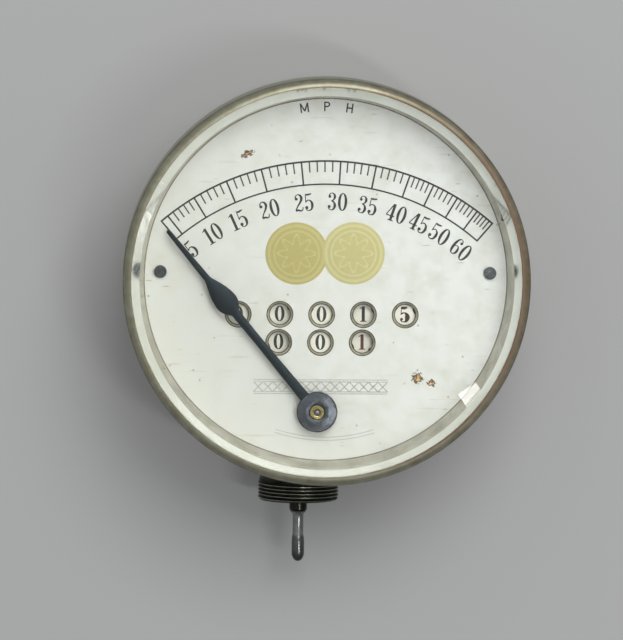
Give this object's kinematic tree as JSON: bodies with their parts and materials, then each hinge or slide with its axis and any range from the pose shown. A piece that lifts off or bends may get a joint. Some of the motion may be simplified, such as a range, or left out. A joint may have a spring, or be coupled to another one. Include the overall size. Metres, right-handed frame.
{
  "type": "vintage speedometer",
  "caption": "Round cable-driven speedometer in a shallow metal case, with a swinging leaf pointer over an arched scale, number discs behind round windows and a threaded drive ferrule.",
  "frame": {"origin": "centre of the flat back face", "axes": "+Z out of the dial, +Y to the top of the dial, -Y along the drive ferrule"},
  "size_m": [0.1016, 0.1239, 0.0443],
  "materials": {
    "case_metal": "tarnished",
    "bezel_metal": "tarnished, polished inside",
    "polished_wall": "polished",
    "glass": "clear",
    "gasket": "matt",
    "dial_enamel": "satin",
    "disc_enamel": "satin",
    "blued_steel": "blued",
    "bright_brass": "polished",
    "black_steel": "oxidised",
    "dark_polished_steel": "polished",
    "steel": "turned",
    "brass": "brushed"
  },
  "bodies": {
    "case": {"rear_cover": "case_metal", "rear_cover_screws": "steel", "case_shell": "case_metal", "bezel": "bezel_metal", "glass_gasket": "gasket", "glass": "glass", "spacer_ring": "polished_wall", "dial_plate": "dial_enamel", "dial_posts": "brass", "dial_screws": "steel", "front_plate": "brass", "front_plate_screws": "steel", "back_plate": "brass", "plate_pillars": "brass", "pillar_screws": "steel", "drive_ferrule": "black_steel", "ferrule_nut": "black_steel", "ferrule_bush": "brass", "spindle_bearing": "brass", "lever_stud": "steel", "hairspring": "blued_steel", "hairspring_stud": "steel", "disc_studs": "steel", "detent_springs": "steel"},
    "spindle": {"drive_spindle": "dark_polished_steel", "worm": "steel", "governor_hub": "brass", "governor_pin": "steel", "spring_collar": "steel", "governor_spring": "steel"},
    "ring": {"governor_ring": "brass"},
    "sleeve": {"governor_sleeve": "brass"},
    "lever": {"sector_lever": "brass"},
    "pointer": {"pointer_arbor": "steel", "pointer": "blued_steel", "pointer_bush": "bright_brass"},
    "worm_wheel": {"worm_wheel": "brass", "wheel_arbor": "steel"},
    "total_tenths": {"total_arbor": "steel", "total_gear": "brass", "transfer_gear": "brass", "total_tenths_disc": "disc_enamel"},
    "total_units": {"total_units_disc": "disc_enamel"},
    "total_tens": {"total_tens_disc": "disc_enamel"},
    "total_hundreds": {"total_hundreds_disc": "disc_enamel"},
    "total_thousands": {"total_thousands_disc": "disc_enamel"},
    "trip_tenths": {"trip_arbor": "steel", "trip_gear": "brass", "trip_tenths_disc": "disc_enamel"},
    "trip_units": {"trip_units_disc": "disc_enamel"},
    "trip_tens": {"trip_tens_disc": "disc_enamel"}
  },
  "joints": [
    {"name": "drive_spin", "type": "hinge", "parent": "case", "child": "spindle", "pos_m": [-0.006, 0, 0.0152], "axis": [0, 1, 0], "continuous": true},
    {"name": "pointer_swing", "type": "hinge", "parent": "case", "child": "pointer", "pos_m": [-0.002, -0.033, 0], "axis": [0, 0, -1], "range_deg": [0, 80], "stiffness_Nm_per_rad": 0.00002, "springref_deg": -28.65, "deforming": ["hairspring"]},
    {"name": "sector_swing", "type": "hinge", "parent": "case", "child": "lever", "pos_m": [0.0019, -0.0226, 0], "axis": [0, 0, 1], "range_deg": [0, 20]},
    {"name": "sleeve_slide", "type": "slide", "parent": "spindle", "child": "sleeve", "axis": [0, -1, 0], "range_m": [0, 0.00271], "deforming": ["governor_spring"]},
    {"name": "ring_tilt", "type": "hinge", "parent": "spindle", "child": "ring", "pos_m": [-0.006, -0.0115, 0.0152], "axis": [0, 0, -1], "range_deg": [0, 45.09]},
    {"name": "worm_wheel_spin", "type": "hinge", "parent": "case", "child": "worm_wheel", "pos_m": [0.0049, 0.006, 0], "axis": [0, 0, 1], "continuous": true},
    {"name": "total_tenths_spin", "type": "hinge", "parent": "case", "child": "total_tenths", "pos_m": [0.01997, -0.00293, 0], "axis": [0, 0, 1], "continuous": true},
    {"name": "total_units_spin", "type": "hinge", "parent": "case", "child": "total_units", "pos_m": [0.00951, -0.00293, 0], "axis": [0, 0, 1], "continuous": true},
    {"name": "total_tens_spin", "type": "hinge", "parent": "case", "child": "total_tens", "pos_m": [-0.00095, -0.00293, 0], "axis": [0, 0, 1], "continuous": true},
    {"name": "total_hundreds_spin", "type": "hinge", "parent": "case", "child": "total_hundreds", "pos_m": [-0.01141, -0.00293, 0], "axis": [0, 0, 1], "continuous": true},
    {"name": "total_thousands_spin", "type": "hinge", "parent": "case", "child": "total_thousands", "pos_m": [-0.02187, -0.00293, 0], "axis": [0, 0, 1], "continuous": true},
    {"name": "trip_tenths_spin", "type": "hinge", "parent": "case", "child": "trip_tenths", "pos_m": [0.00926, -0.02157, 0], "axis": [0, 0, 1], "continuous": true},
    {"name": "trip_units_spin", "type": "hinge", "parent": "case", "child": "trip_units", "pos_m": [-0.0012, -0.02157, 0], "axis": [0, 0, 1], "continuous": true},
    {"name": "trip_tens_spin", "type": "hinge", "parent": "case", "child": "trip_tens", "pos_m": [-0.01166, -0.02157, 0], "axis": [0, 0, 1], "continuous": true}
  ],
  "couplings": [
    {"joint": "sector_swing", "follows": "pointer_swing", "ratio": 0.25},
    {"joint": "sleeve_slide", "follows": "pointer_swing", "m_per_rad": 0.0019351},
    {"joint": "ring_tilt", "follows": "pointer_swing", "ratio": 0.56239},
    {"joint": "worm_wheel_spin", "follows": "drive_spin", "ratio": 0.02},
    {"joint": "total_tenths_spin", "follows": "drive_spin", "ratio": -0.004},
    {"joint": "total_units_spin", "follows": "drive_spin", "ratio": 0.0004},
    {"joint": "total_tens_spin", "follows": "drive_spin", "ratio": -0.00004},
    {"joint": "total_hundreds_spin", "follows": "drive_spin", "ratio": 0.000004},
    {"joint": "total_thousands_spin", "follows": "drive_spin", "ratio": -0.0000004},
    {"joint": "trip_tenths_spin", "follows": "drive_spin", "ratio": 0.004},
    {"joint": "trip_units_spin", "follows": "drive_spin", "ratio": -0.0004},
    {"joint": "trip_tens_spin", "follows": "drive_spin", "ratio": 0.00004}
  ]
}
